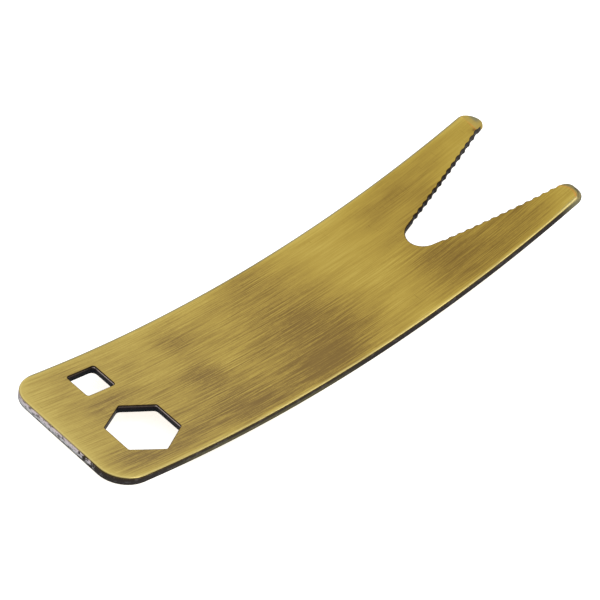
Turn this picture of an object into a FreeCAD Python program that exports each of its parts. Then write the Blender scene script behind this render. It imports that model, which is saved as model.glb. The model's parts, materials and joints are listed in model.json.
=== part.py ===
import FreeCAD, Part
import math
import os

import Sketcher

# A pocket spanner blanked from one piece of steel strip and rolled to a long, gentle bow.
# One end carries a hexagonal and a square socket hole side by side, the other end is a forked
# V-notch whose two inner edges are toothed, and the tips of the fork are ground to a bevel.
#
# Frame, in millimetres: X runs along the strip from the socket end (-X) to the fork (+X), Y runs
# across it, and Z points up out of the hollow side. The origin is the lowest point of the bowed
# underside, halfway along the strip and on its centre line. "Along" is a distance measured on the
# hollow face from the socket end, as on the flat blank.

SIZES = {
    "strip_length": 105.5,
    "strip_width": 30.0,
    "sheet_thickness": 1.6,
    "bend_radius": 212.0,
    "end_corner_radius": 5.4,
    "far_tip_radius": 2.9,
    "near_tip_radius": 2.0,
    "inner_tip_radius": 1.5,
    "edge_round": 0.3,
    "hex_along": 12.6,
    "hex_offset": 5.4,
    "hex_across_flats": 11.0,
    "square_along": 12.75,
    "square_offset": 8.5,
    "square_side": 5.8,
    "square_corner_radius": 0.5,
    "notch_root_along": 76.95,
    "notch_root_radius": 3.45,
    "notch_half_angle": 16.1,
    "notch_plane_along": 91.0,
    "notch_overrun": 2.0,
    "tooth_count": 14,
    "tooth_pitch": 1.675,
    "tooth_depth": 0.2,
    "tooth_radius": 1.1,
    "first_tooth_along": 81.9,
    "bevel_length": 1.5,
    "bevel_depth": 0.85,
}

# Allowances for telling edges apart by where their middles lie, and for a cut that took nothing.
ON_A_FACE = 0.01
NEARBY = 0.2
NO_CUT = 0.01

doc = FreeCAD.newDocument("spanner")
sheet = doc.addObject("Spreadsheet::Sheet", "Sizes")
for row, (alias, size) in enumerate(SIZES.items(), start=1):
    sheet.set(f"A{row}", alias)
    sheet.set(f"B{row}", str(size))
    sheet.setAlias(f"B{row}", alias)
doc.recompute()

body = doc.addObject("PartDesign::Body", "SpannerPlate")
body.Label = "spanner_plate"


def origin_plane(role):
    """Return the body's own origin plane with this role."""
    for feature in body.Origin.OriginFeatures:
        if feature.Role == role:
            return feature
    raise LookupError(role)


def new_sketch(name, role):
    """Add a sketch to the body, lying flat on one of its origin planes."""
    sketch = body.newObject("Sketcher::SketchObject", name)
    sketch.AttachmentSupport = [(origin_plane(role), "")]
    sketch.MapMode = "FlatFace"
    return sketch


def fix_size(sketch, kind, *where, size):
    """Add a dimension to a sketch and bind it to an expression of the sheet."""
    start = FreeCAD.Units.Quantity(sketch.evalExpression(size))
    number = math.radians(start.Value) if kind == "Angle" else start.Value
    index = sketch.addConstraint(Sketcher.Constraint(kind, *where, number))
    sketch.setExpression(f"Constraints[{index}]", size)


def bow_angle(along):
    """Expression for the angle round the bow, in degrees from its lowest point."""
    return f"(({along}) - Sizes.strip_length / 2) / Sizes.bend_radius * 180 / pi"


def lay_on_bow(sketch, along):
    """Move a sketch on the XY plane to touch the hollow face at this distance along it."""
    angle = bow_angle(along)
    sketch.AttachmentOffset = FreeCAD.Placement(
        FreeCAD.Vector(), FreeCAD.Rotation(FreeCAD.Vector(0, -1, 0), 1.0)
    )
    sketch.setExpression("AttachmentOffset.Base.x", f"Sizes.bend_radius * sin({angle})")
    sketch.setExpression(
        "AttachmentOffset.Base.z",
        f"Sizes.bend_radius * (1 - cos({angle})) + Sizes.sheet_thickness",
    )
    sketch.setExpression("AttachmentOffset.Rotation.Angle", angle)
    doc.recompute()


def value(alias):
    """Read one number from the sheet."""
    return float(sheet.get(alias))


def flat_place(point):
    """Turn a point of the bowed strip into (along, across, depth under the hollow face)."""
    radius = value("bend_radius")
    rise = radius + value("sheet_thickness") - point.z
    angle = math.atan2(point.x, rise)
    depth = math.hypot(point.x, rise) - radius
    return value("strip_length") / 2 + radius * angle, point.y, depth


def pick_edges(feature, wanted):
    """Names of the edges whose middle, as (along, across, depth), passes the test."""
    names = []
    for number, edge in enumerate(feature.Shape.Edges, start=1):
        middle = edge.valueAt((edge.FirstParameter + edge.LastParameter) / 2)
        if wanted(*flat_place(middle)):
            names.append(f"Edge{number}")
    return names


def round_edges(name, radius, wanted):
    """Fillet the picked edges of the body's last feature."""
    base = body.Tip
    fillet = body.newObject("PartDesign::Fillet", name)
    fillet.Base = (base, pick_edges(base, wanted))
    fillet.setExpression("Radius", radius)
    doc.recompute()
    return fillet


def cut_through(name, sketch):
    """Cut a closed sketch right through the strip, both ways from its plane."""
    before = body.Shape.Volume
    pocket = body.newObject("PartDesign::Pocket", name)
    pocket.Profile = sketch
    pocket.SideType = "Symmetric"
    pocket.Type = "ThroughAll"
    doc.recompute()
    if pocket.Shape.Volume > before - NO_CUT:
        raise RuntimeError(f"{name} cut nothing")
    return pocket


def add_strip():
    """Pad the bowed side profile of the strip across its width."""
    radius = value("bend_radius")
    outer = radius + value("sheet_thickness")
    half = value("strip_length") / 2 / radius
    sketch = new_sketch("StripProfile", "XZ_Plane")
    centre = FreeCAD.Vector(0, outer, 0)
    normal = FreeCAD.Vector(0, 0, 1)
    spans = (-math.pi / 2 - half, -math.pi / 2 + half)
    for size in (radius, outer):
        circle = Part.Circle(centre, normal, size)
        sketch.addGeometry(Part.ArcOfCircle(circle, *spans), False)
    for angle in spans:
        ray = FreeCAD.Vector(math.cos(angle), math.sin(angle), 0)
        sketch.addGeometry(Part.LineSegment(centre + ray * radius, centre + ray * outer), False)
    hollow, under, socket_end, fork_end = range(4)
    origin, vertical = -1, -2
    for end, corner in ((socket_end, 1), (fork_end, 2)):
        sketch.addConstraint(Sketcher.Constraint("Coincident", end, 1, hollow, corner))
        sketch.addConstraint(Sketcher.Constraint("Coincident", end, 2, under, corner))
        sketch.addConstraint(Sketcher.Constraint("PointOnObject", hollow, 3, end))
    sketch.addConstraint(Sketcher.Constraint("Coincident", hollow, 3, under, 3))
    sketch.addConstraint(Sketcher.Constraint("PointOnObject", hollow, 3, vertical))
    sketch.addConstraint(Sketcher.Constraint("Symmetric", hollow, 1, hollow, 2, vertical))
    fix_size(sketch, "Radius", hollow, size="Sizes.bend_radius")
    fix_size(sketch, "Radius", under, size="Sizes.bend_radius + Sizes.sheet_thickness")
    fix_size(
        sketch, "DistanceY", origin, 1, hollow, 3,
        size="Sizes.bend_radius + Sizes.sheet_thickness",
    )
    fix_size(
        sketch, "DistanceX", hollow, 1, hollow, 2,
        size=f"2 * Sizes.bend_radius * sin({bow_angle('Sizes.strip_length')})",
    )
    doc.recompute()
    pad = body.newObject("PartDesign::Pad", "Strip")
    pad.Profile = sketch
    pad.SideType = "Symmetric"
    pad.setExpression("Length", "Sizes.strip_width")
    doc.recompute()


def add_notch():
    """Cut the V-notch with its rounded root, open at the fork end."""
    angle = math.radians(value("notch_half_angle"))
    radius = value("notch_root_radius")
    root = value("notch_root_along") + radius - value("notch_plane_along")
    mouth = value("strip_length") + value("notch_overrun") - value("notch_plane_along")
    sketch = new_sketch("NotchProfile", "XY_Plane")
    lay_on_bow(sketch, "Sizes.notch_plane_along")
    centre = FreeCAD.Vector(root, 0, 0)
    circle = Part.Circle(centre, FreeCAD.Vector(0, 0, 1), radius)
    spans = (math.pi / 2 + angle, math.pi * 1.5 - angle)
    sketch.addGeometry(Part.ArcOfCircle(circle, *spans), False)
    corners = []
    for side, turn in ((1, spans[0]), (-1, spans[1])):
        start = centre + FreeCAD.Vector(math.cos(turn), math.sin(turn), 0) * radius
        rise = side * (mouth - start.x) * math.tan(angle)
        corners.append(FreeCAD.Vector(mouth, start.y + rise, 0))
        sketch.addGeometry(Part.LineSegment(start, corners[-1]), False)
    sketch.addGeometry(Part.LineSegment(*corners), False)
    arc, upper, lower, closing = range(4)
    origin, horizontal = -1, -1
    sketch.addConstraint(Sketcher.Constraint("Tangent", arc, 1, upper, 1))
    sketch.addConstraint(Sketcher.Constraint("Tangent", arc, 2, lower, 1))
    sketch.addConstraint(Sketcher.Constraint("Coincident", upper, 2, closing, 1))
    sketch.addConstraint(Sketcher.Constraint("Coincident", lower, 2, closing, 2))
    sketch.addConstraint(Sketcher.Constraint("PointOnObject", arc, 3, horizontal))
    sketch.addConstraint(Sketcher.Constraint("Symmetric", upper, 2, lower, 2, horizontal))
    fix_size(sketch, "Radius", arc, size="Sizes.notch_root_radius")
    fix_size(sketch, "Angle", upper, size="Sizes.notch_half_angle * 1 deg")
    fix_size(
        sketch, "DistanceX", arc, 3, origin, 1,
        size="Sizes.notch_plane_along - Sizes.notch_root_along - Sizes.notch_root_radius",
    )
    fix_size(
        sketch, "DistanceX", origin, 1, upper, 2,
        size="Sizes.strip_length + Sizes.notch_overrun - Sizes.notch_plane_along",
    )
    doc.recompute()
    cut_through("Notch", sketch)


def add_hexagon():
    """Cut the hexagonal socket hole, two of its flats square to the strip's length."""
    sketch = new_sketch("HexProfile", "XY_Plane")
    lay_on_bow(sketch, "Sizes.hex_along")
    centre = FreeCAD.Vector(0, -value("hex_offset"), 0)
    radius = value("hex_across_flats") / math.sqrt(3)
    corners = []
    for step in range(6):
        turn = math.radians(90 + 60 * step)
        corners.append(centre + FreeCAD.Vector(math.cos(turn), math.sin(turn), 0) * radius)
    for step in range(6):
        side = Part.LineSegment(corners[step], corners[(step + 1) % 6])
        sketch.addGeometry(side, False)
    circle = Part.Circle(centre, FreeCAD.Vector(0, 0, 1), radius)
    sketch.addGeometry(circle, True)
    corner_circle, origin, vertical = 6, -1, -2
    for step in range(6):
        sketch.addConstraint(Sketcher.Constraint("Coincident", step, 2, (step + 1) % 6, 1))
        sketch.addConstraint(Sketcher.Constraint("PointOnObject", step, 1, corner_circle))
    for step in range(1, 6):
        sketch.addConstraint(Sketcher.Constraint("Equal", 0, step))
    sketch.addConstraint(Sketcher.Constraint("PointOnObject", corner_circle, 3, vertical))
    sketch.addConstraint(Sketcher.Constraint("PointOnObject", 0, 1, vertical))
    fix_size(sketch, "DistanceY", corner_circle, 3, origin, 1, size="Sizes.hex_offset")
    fix_size(sketch, "Radius", corner_circle, size="Sizes.hex_across_flats / sqrt(3)")
    doc.recompute()
    cut_through("HexSocket", sketch)


def add_square():
    """Cut the square socket hole and round its four corners."""
    sketch = new_sketch("SquareProfile", "XY_Plane")
    lay_on_bow(sketch, "Sizes.square_along")
    half = value("square_side") / 2
    centre = FreeCAD.Vector(0, value("square_offset"), 0)
    corners = []
    for across, over in ((1, 1), (-1, 1), (-1, -1), (1, -1)):
        corners.append(centre + FreeCAD.Vector(across, over, 0) * half)
    for step in range(4):
        side = Part.LineSegment(corners[step], corners[(step + 1) % 4])
        sketch.addGeometry(side, False)
    middle = Part.Point(centre)
    sketch.addGeometry(middle, True)
    point, origin, vertical = 4, -1, -2
    for step in range(4):
        sketch.addConstraint(Sketcher.Constraint("Coincident", step, 2, (step + 1) % 4, 1))
        kind = "Vertical" if step % 2 else "Horizontal"
        sketch.addConstraint(Sketcher.Constraint(kind, step))
    sketch.addConstraint(Sketcher.Constraint("Equal", 0, 1))
    sketch.addConstraint(Sketcher.Constraint("Symmetric", 0, 1, 1, 2, point, 1))
    sketch.addConstraint(Sketcher.Constraint("PointOnObject", point, 1, vertical))
    fix_size(sketch, "DistanceY", origin, 1, point, 1, size="Sizes.square_offset")
    fix_size(sketch, "DistanceX", 0, 2, 0, 1, size="Sizes.square_side")
    doc.recompute()
    cut_through("SquareSocket", sketch)
    centre_along, centre_across = value("square_along"), value("square_offset")

    def is_hole_corner(along, across, depth):
        beside = abs(abs(along - centre_along) - half) < NEARBY
        over = abs(abs(across - centre_across) - half) < NEARBY
        return beside and over

    round_edges("SquareCorners", "Sizes.square_corner_radius", is_hole_corner)


def round_corners():
    """Round the strip's two socket-end corners and the four corners of the fork's tips."""
    length, half_width = value("strip_length"), value("strip_width") / 2
    thickness = value("sheet_thickness")
    rounded_from = half_width - value("far_tip_radius")

    def is_end_corner(along, across, depth):
        return along < NEARBY and abs(across) > half_width - NEARBY

    def is_far_tip(along, across, depth):
        return along > length - NEARBY and across > half_width - NEARBY

    def is_near_tip(along, across, depth):
        return along > length - NEARBY and across < NEARBY - half_width

    def is_inner_tip(along, across, depth):
        upright = NEARBY < depth < thickness - NEARBY
        return along > length - NEARBY and abs(across) < rounded_from - NEARBY and upright

    round_edges("EndCorners", "Sizes.end_corner_radius", is_end_corner)
    round_edges("FarTipCorner", "Sizes.far_tip_radius", is_far_tip)
    round_edges("NearTipCorner", "Sizes.near_tip_radius", is_near_tip)
    round_edges("InnerTipCorners", "Sizes.inner_tip_radius", is_inner_tip)


def add_teeth(name, side):
    """Cut the row of round-bottomed teeth along one edge of the notch (side +1 or -1)."""
    angle = math.radians(value("notch_half_angle"))
    apex_along = (
        value("notch_root_along") + value("notch_root_radius") * (1 - 1 / math.sin(angle))
    )
    reach = (value("first_tooth_along") - apex_along) / math.cos(angle)
    standoff = value("tooth_radius") - value("tooth_depth")
    apex = FreeCAD.Vector(apex_along - value("notch_plane_along"), 0, 0)
    edge = FreeCAD.Vector(math.cos(angle), side * math.sin(angle), 0)
    inward = FreeCAD.Vector(math.sin(angle), -side * math.cos(angle), 0)
    foot = apex + edge * reach
    centre = foot + inward * standoff
    sketch = new_sketch(f"{name}Profile", "XY_Plane")
    lay_on_bow(sketch, "Sizes.notch_plane_along")
    sketch.addGeometry(Part.LineSegment(apex, foot), True)
    sketch.addGeometry(Part.LineSegment(foot, centre), True)
    circle = Part.Circle(centre, FreeCAD.Vector(0, 0, 1), value("tooth_radius"))
    sketch.addGeometry(circle, False)
    edge_line, foot_line, scallop = range(3)
    origin, horizontal = -1, -1
    sketch.addConstraint(Sketcher.Constraint("PointOnObject", edge_line, 1, horizontal))
    sketch.addConstraint(Sketcher.Constraint("Coincident", edge_line, 2, foot_line, 1))
    sketch.addConstraint(Sketcher.Constraint("Coincident", foot_line, 2, scallop, 3))
    sketch.addConstraint(Sketcher.Constraint("Perpendicular", edge_line, foot_line))
    apex_text = (
        "(Sizes.notch_root_along + Sizes.notch_root_radius"
        " * (1 - 1 / sin(Sizes.notch_half_angle)))"
    )
    fix_size(
        sketch, "DistanceX", edge_line, 1, origin, 1,
        size=f"Sizes.notch_plane_along - {apex_text}",
    )
    fix_size(
        sketch, "DistanceX", edge_line, 1, edge_line, 2,
        size=f"Sizes.first_tooth_along - {apex_text}",
    )
    fix_size(sketch, "Angle", edge_line, size=f"{side} * Sizes.notch_half_angle * 1 deg")
    fix_size(sketch, "Distance", foot_line, size="Sizes.tooth_radius - Sizes.tooth_depth")
    fix_size(sketch, "Radius", scallop, size="Sizes.tooth_radius")
    doc.recompute()
    tooth = cut_through(f"{name}First", sketch)
    one_tooth = tooth.BaseFeature.Shape.Volume - tooth.Shape.Volume
    pattern = body.newObject("PartDesign::LinearPattern", name)
    pattern.Originals = [tooth]
    pattern.Direction = (sketch, ["Axis0"])
    pattern.Mode = "Spacing"
    pattern.setExpression("Offset", "Sizes.tooth_pitch")
    pattern.setExpression("Occurrences", "Sizes.tooth_count")
    body.Tip = pattern
    doc.recompute()
    cut = tooth.BaseFeature.Shape.Volume - pattern.Shape.Volume
    teeth_cut = round(cut / one_tooth)
    if teeth_cut != value("tooth_count"):
        raise RuntimeError(f"{name} cut {cut:.2f} mm3, one tooth is {one_tooth:.2f} mm3")


def ease_edges():
    """Ease the sheared outer edges; the notch and the sockets keep their sharp edges."""
    half_width = value("strip_width") / 2
    corner = value("end_corner_radius")
    thickness = value("sheet_thickness")

    def is_outer(along, across, depth):
        on_a_face = depth < ON_A_FACE or depth > thickness - ON_A_FACE
        return on_a_face and (abs(across) > half_width - ON_A_FACE or along < corner / 2)

    round_edges("EasedEdges", "Sizes.edge_round", is_outer)


def grind_tips():
    """Grind the hollow side of both tips down to a slope, in one cut across the fork."""
    angle = bow_angle("Sizes.strip_length")
    run = value("bevel_length")
    drop = value("bevel_depth")
    sketch = new_sketch("TipBevelProfile", "XZ_Plane")
    sketch.AttachmentOffset = FreeCAD.Placement(
        FreeCAD.Vector(), FreeCAD.Rotation(FreeCAD.Vector(0, 0, 1), 1.0)
    )
    sketch.setExpression("AttachmentOffset.Base.x", f"Sizes.bend_radius * sin({angle})")
    sketch.setExpression(
        "AttachmentOffset.Base.y",
        f"Sizes.bend_radius * (1 - cos({angle})) + Sizes.sheet_thickness",
    )
    sketch.setExpression("AttachmentOffset.Rotation.Angle", angle)
    doc.recompute()
    corner = FreeCAD.Vector(run / 2, drop / 2, 0)
    inner = corner - FreeCAD.Vector(2 * run, 0, 0)
    lower = corner - FreeCAD.Vector(0, 2 * drop, 0)
    sketch.addGeometry(Part.LineSegment(corner, inner), False)
    sketch.addGeometry(Part.LineSegment(inner, lower), False)
    sketch.addGeometry(Part.LineSegment(lower, corner), False)
    top, slope, front, origin = 0, 1, 2, -1
    for one, other in ((top, slope), (slope, front), (front, top)):
        sketch.addConstraint(Sketcher.Constraint("Coincident", one, 2, other, 1))
    sketch.addConstraint(Sketcher.Constraint("Horizontal", top))
    sketch.addConstraint(Sketcher.Constraint("Vertical", front))
    fix_size(sketch, "DistanceX", top, 2, top, 1, size="2 * Sizes.bevel_length")
    fix_size(sketch, "DistanceY", front, 1, front, 2, size="2 * Sizes.bevel_depth")
    fix_size(sketch, "DistanceX", origin, 1, top, 1, size="Sizes.bevel_length / 2")
    fix_size(sketch, "DistanceY", origin, 1, top, 1, size="Sizes.bevel_depth / 2")
    doc.recompute()
    cut_through("TipBevel", sketch)


add_strip()
add_notch()
round_corners()
add_hexagon()
add_square()
add_teeth("UpperTeeth", 1)
add_teeth("LowerTeeth", -1)
ease_edges()
grind_tips()
body.Placement = FreeCAD.Placement()
doc.recompute()

for item in doc.Objects:
    if "Invalid" in item.State or "Error" in item.State:
        raise RuntimeError(f"{item.Label} failed: {item.State}")
parts = [item for item in doc.Objects if item.TypeId == "PartDesign::Body"]
for part in parts:
    solid = part.Shape
    if solid.isNull() or not solid.isValid() or len(solid.Solids) != 1:
        raise RuntimeError(f"{part.Label} is not one valid solid")

os.makedirs("parts", exist_ok=True)
for part in parts:
    part.Shape.exportStep(f"parts/{part.Label}.step")
    box = part.Shape.optimalBoundingBox(False)
    print(
        f"{part.Label}: volume {part.Shape.Volume:.1f} mm3,"
        f" x {box.XMin:.2f}..{box.XMax:.2f}, y {box.YMin:.2f}..{box.YMax:.2f},"
        f" z {box.ZMin:.2f}..{box.ZMax:.2f}"
    )
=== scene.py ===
import json
import math
from types import SimpleNamespace

import bpy
import numpy as np
from mathutils import Matrix, Vector
from mathutils.geometry import delaunay_2d_cdt


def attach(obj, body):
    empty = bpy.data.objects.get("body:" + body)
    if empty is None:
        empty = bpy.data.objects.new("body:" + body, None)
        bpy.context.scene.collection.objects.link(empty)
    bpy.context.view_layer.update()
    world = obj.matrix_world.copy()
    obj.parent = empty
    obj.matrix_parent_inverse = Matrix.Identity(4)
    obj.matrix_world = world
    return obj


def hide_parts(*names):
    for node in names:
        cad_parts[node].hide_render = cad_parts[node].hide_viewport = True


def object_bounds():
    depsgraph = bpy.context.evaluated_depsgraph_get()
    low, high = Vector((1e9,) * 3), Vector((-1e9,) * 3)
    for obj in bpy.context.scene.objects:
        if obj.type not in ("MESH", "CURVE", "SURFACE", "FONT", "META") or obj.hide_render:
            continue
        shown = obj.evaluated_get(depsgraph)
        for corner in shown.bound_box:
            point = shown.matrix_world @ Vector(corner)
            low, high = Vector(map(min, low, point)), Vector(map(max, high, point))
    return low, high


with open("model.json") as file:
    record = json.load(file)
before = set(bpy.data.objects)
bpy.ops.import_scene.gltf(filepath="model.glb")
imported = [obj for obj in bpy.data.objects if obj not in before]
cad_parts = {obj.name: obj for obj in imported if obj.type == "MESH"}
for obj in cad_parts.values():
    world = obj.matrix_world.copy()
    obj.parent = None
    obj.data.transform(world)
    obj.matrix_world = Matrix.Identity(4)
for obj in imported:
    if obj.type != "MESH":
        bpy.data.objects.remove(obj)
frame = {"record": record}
cad_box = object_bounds()
record = frame["record"]
mounts = {mount["name"]: mount for mount in record["mounts"]}

# The spanner is drawn on its flat blank, in millimetres, and then bowed. "Along" runs from the
# socket end to the fork's tips, "across" is the row frame's Y, and "depth" is counted down from
# the hollow face. MM turns a length into the frame's metres. KEEP_IN holds both faces a hair
# inside the CAD box.
MM = 0.001
KEEP_IN = 0.001

SHEET = 1.6
STRIP_LENGTH = 105.5
# Corner radii of the outline: at the socket end, outside each prong's tip, and inside both tips.
END_CORNER = 5.4
FAR_TIP = 3.05
NEAR_TIP = 2.0
TIP_INNER = 1.5
HEX_FLATS = 11.0
HEX_CORNER = 0.4
SQUARE_SIDE = 5.8
SQUARE_CORNER = 0.5
# A punched opening breaks out wider on the underside, from BREAK_START of the way down, and a
# punched hole's corners are rounder there too.
BREAK_OUT = 0.15
BREAK_CORNER = 1.0
BREAK_START = 0.3
NOTCH_BREAK_OUT = 0.22
NOTCH_ROOT = 3.45
NOTCH_HALF_ANGLE = math.radians(16.1)
# The notch's far edge stands further in than its near edge mirrored: by NOTCH_LEAN all along,
# and by ROOT_LEAN more near the root. The pairs say where each starts and where it is whole.
NOTCH_LEAN = 0.09
NOTCH_LEAN_ACROSS = (-1.0, 2.0)
ROOT_LEAN = 0.08
ROOT_LEAN_ALONG = (92.0, 82.0)
TOOTH_COUNT = 14
TOOTH_PITCH = 1.675
TOOTH_DEPTH = 0.2
TOOTH_RADIUS = 1.1
FIRST_TOOTH = 81.9

# How far each kind of edge is rolled over where it was sheared, and round the ground tips.
EDGE_ROLLS = {"sheared": 0.3, "tip": 0.3, "notch": 0.13, "socket": 0.08}
GROUND_ROLL = 0.07
# The near prong's outer edge was softened more and more towards its tip. The pairs say where
# that starts and where it is whole.
SOFTENED_ROLL = 0.6
SOFTENED_ALONG = (80.0, 104.0)
SOFTENED_ACROSS = (-11.0, -14.0)
# What a roll must leave of the wall, and how far inside the rolls the flat faces begin.
THINNEST_WALL = 0.05
SUPPORT = 0.04

# Each tip is ground away on the hollow side, beyond a rounded line across its prong:
# (centre along, centre across, radius of that line, slope, growth of the slope).
FAR_GRIND = (78.5, 15.0, 25.0, 0.28, 0.04)
NEAR_GRIND = (101.4, -12.6, 2.95, 0.35, 0.2)
TIP_GRINDS = (FAR_GRIND, NEAR_GRIND)
# How fast a grind's gap falls off behind its centre.
GRIND_SPREAD = 0.45
# The gap given to a place far from any grind, and how far ahead of one the edges turn crisp.
NOT_GROUND = -9.0
CRISP_LEAD = 0.3

# How finely the mesh is divided: steps round each sort of corner, round a roll, and along a
# socket's side; rings down a wall, as shares of it; points on a tooth; and the spacing of points
# on the plain ends of the notch's edges, on the side where the outline comes to the teeth and on
# the side where it leaves them.
CORNER_STEPS = 12
INNER_TIP_STEPS = 10
SOCKET_CORNER_STEPS = 8
ROOT_STEPS = 26
ROLL_STEPS = 6
SIDE_STEPS = 8
WALL_RINGS = (0.04, 0.2, 0.35, 0.5, 0.65, 0.8, 0.96)
TOOTH_POINTS = 8
BEFORE_TEETH, AFTER_TEETH = 0.7, 0.5
# Passes of smoothing along a loop, for its rolls and for the notch's break-out.
ROLL_PASSES = 3
BREAK_OUT_PASSES = 6
# The triangles of a face, how clear they stay of its edge (as a share of their size) and of a
# grind's crease, and how a crease is drawn: its half width, points, and gap to the edge.
FACE_STEP = 1.15
EDGE_CLEARANCE = 0.45
CREASE_CLEARANCE = 0.45
CREASE_HALF_WIDTH = 5.2
CREASE_STEPS = 24
CREASE_MARGIN = 0.12
# Edges that turn by more than this are shaded crisp.
SHARP_ANGLE = math.radians(20)
# Points closer than these are one point, in an outline and in a face's triangles.
SAME_POINT = 1e-4
SAME_CORNER = 1e-6
# Keeps a step inwards from a sharp corner from growing too long.
LEAST_SPREAD = 0.8

width = (cad_box[1].y - cad_box[0].y) / MM


def bow_centre_height():
    """Height of the bow's axis: where the hexagonal socket's own axis crosses the middle."""
    place, axis = mounts["hex_socket"]["pos_m"], mounts["hex_socket"]["axis"]
    return (place[2] - place[0] * axis[2] / axis[0]) / MM


bow_height = bow_centre_height()
bow_radius = bow_height - SHEET


def mount_along(name):
    """Distance of a mount from the socket end, measured along the hollow face."""
    place = mounts[name]["pos_m"]
    angle = math.atan2(place[0] / MM, bow_height - place[2] / MM)
    return STRIP_LENGTH / 2 + angle * bow_radius


def bow(points):
    """Bend points (along, across, depth) to the bowed strip, in metres in the row frame."""
    angle = bow_angle(points[:, 0])
    radius = bow_radius + np.clip(points[:, 2], KEEP_IN, SHEET - KEEP_IN)
    bent = (radius * np.sin(angle), points[:, 1], bow_height - radius * np.cos(angle))
    return np.stack(bent, axis=1) * MM


def bow_angle(along):
    """How far round the bow a place is from its lowest point."""
    return (along - STRIP_LENGTH / 2) / bow_radius


def share(value, low, high):
    """Where a value lies between low and high, from 0 to 1, held at both ends."""
    return np.clip((value - low) / (high - low), 0, 1)


# --- outlines -----------------------------------------------------------------------------------


def arc(centre, radius, start, stop, steps):
    """Points on an arc, both ends included."""
    turns = np.linspace(start, stop, steps + 1)
    return [(centre[0] + radius * math.cos(t), centre[1] + radius * math.sin(t)) for t in turns]


def line(start, stop, step=1.0):
    """Points on a straight line at about this spacing, both ends included."""
    count = max(1, round(math.dist(start, stop) / step))
    return [tuple(np.add(start, np.subtract(stop, start) * k / count)) for k in range(count + 1)]


def toothed_edge(start, stop, apex):
    """The notch edge from start to stop with its row of round-bottomed teeth."""
    from_tip = math.dist(start, apex) > math.dist(stop, apex)
    tip, apex = np.array(start if from_tip else stop), np.array(apex)
    outward = (tip - apex) / math.dist(tip, apex)
    into_metal = np.array((-outward[1], outward[0])) * math.copysign(1, outward[1])
    standoff = TOOTH_RADIUS - TOOTH_DEPTH
    half_chord = math.sqrt(TOOTH_RADIUS**2 - standoff**2)
    first = (FIRST_TOOTH - apex[0]) / math.cos(NOTCH_HALF_ANGLE)
    chain = []
    for number in range(TOOTH_COUNT):
        for offset in np.linspace(-1, 1, TOOTH_POINTS) * half_chord:
            bite = math.sqrt(TOOTH_RADIUS**2 - offset**2) - standoff
            reach = first + number * TOOTH_PITCH + offset
            chain.append(tuple(apex + outward * reach + into_metal * bite))
    if from_tip:
        chain.reverse()
    before = line(start, chain[0], BEFORE_TEETH)[:-1]
    return before + chain + line(chain[-1], stop, AFTER_TEETH)[1:]


def blank_outline():
    """The blank's outline with the metal on its left, as (point, kind of edge) pairs."""
    half, quarter, tilt = width / 2, math.pi / 2, NOTCH_HALF_ANGLE
    notch = notch_edges()
    shoulder = STRIP_LENGTH - NEAR_TIP
    near_end = (END_CORNER, END_CORNER - half)
    far_end = (END_CORNER, half - END_CORNER)
    near_tip = (shoulder, NEAR_TIP - half)
    far_tip = (STRIP_LENGTH - FAR_TIP, half - FAR_TIP)
    inner = notch["inner tip"]
    pieces = [
        ("sheared", arc(near_end, END_CORNER, math.pi, 3 * quarter, CORNER_STEPS)),
        ("sheared", line((END_CORNER, -half), (shoulder, -half))),
        ("tip", arc(near_tip, NEAR_TIP, -quarter, 0, CORNER_STEPS)),
        ("tip", arc((inner[0], -inner[1]), TIP_INNER, 0, quarter - tilt, INNER_TIP_STEPS)),
        ("notch", notch["near edge"]),
        ("notch", leant(notch["root"])),
        ("notch", leant(notch["far edge"])),
        ("tip", leant(arc(inner, TIP_INNER, tilt - quarter, 0, INNER_TIP_STEPS))),
        ("tip", arc(far_tip, FAR_TIP, 0, quarter, CORNER_STEPS)),
        ("sheared", line((STRIP_LENGTH - FAR_TIP, half), (END_CORNER, half))),
        ("sheared", arc(far_end, END_CORNER, quarter, math.pi, CORNER_STEPS)),
        ("sheared", line((0, half - END_CORNER), (0, END_CORNER - half))),
    ]
    return without_repeats(pieces)


def notch_edges():
    """The notch's near edge, root and far edge, and the centre of the far prong's inner tip."""
    quarter, tilt = math.pi / 2, NOTCH_HALF_ANGLE
    root = mount_along("notch_root")
    apex = (root - NOTCH_ROOT / math.sin(tilt), 0.0)
    mouth = (STRIP_LENGTH - apex[0]) * math.tan(tilt)
    trim = TIP_INNER * math.tan((quarter - tilt) / 2)
    inner = (STRIP_LENGTH - TIP_INNER, mouth + trim)
    foot = (inner[0] + TIP_INNER * math.sin(tilt), inner[1] - TIP_INNER * math.cos(tilt))
    root_end = (root - NOTCH_ROOT * math.sin(tilt), NOTCH_ROOT * math.cos(tilt))
    return {
        "near edge": toothed_edge((foot[0], -foot[1]), (root_end[0], -root_end[1]), apex),
        "root": arc((root, 0), NOTCH_ROOT, 3 * quarter - tilt, quarter + tilt, ROOT_STEPS),
        "far edge": toothed_edge(root_end, foot, apex),
        "inner tip": inner,
    }


def leant(points):
    """Set points on the notch's far edge a little inwards, most near its root."""
    moved = []
    for along, across in points:
        lean = NOTCH_LEAN + ROOT_LEAN * share(along, *ROOT_LEAN_ALONG)
        moved.append((along, across - float(lean * share(across, *NOTCH_LEAN_ACROSS))))
    return moved


def without_repeats(pieces):
    """Join pieces into one closed chain of (point, kind), leaving out repeated points."""
    chain = []
    for kind, points in pieces:
        for point in points:
            if not chain or math.dist(point, chain[-1][0]) > SAME_POINT:
                chain.append((point, kind))
    if math.dist(chain[0][0], chain[-1][0]) < SAME_POINT:
        chain.pop()
    return chain


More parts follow.
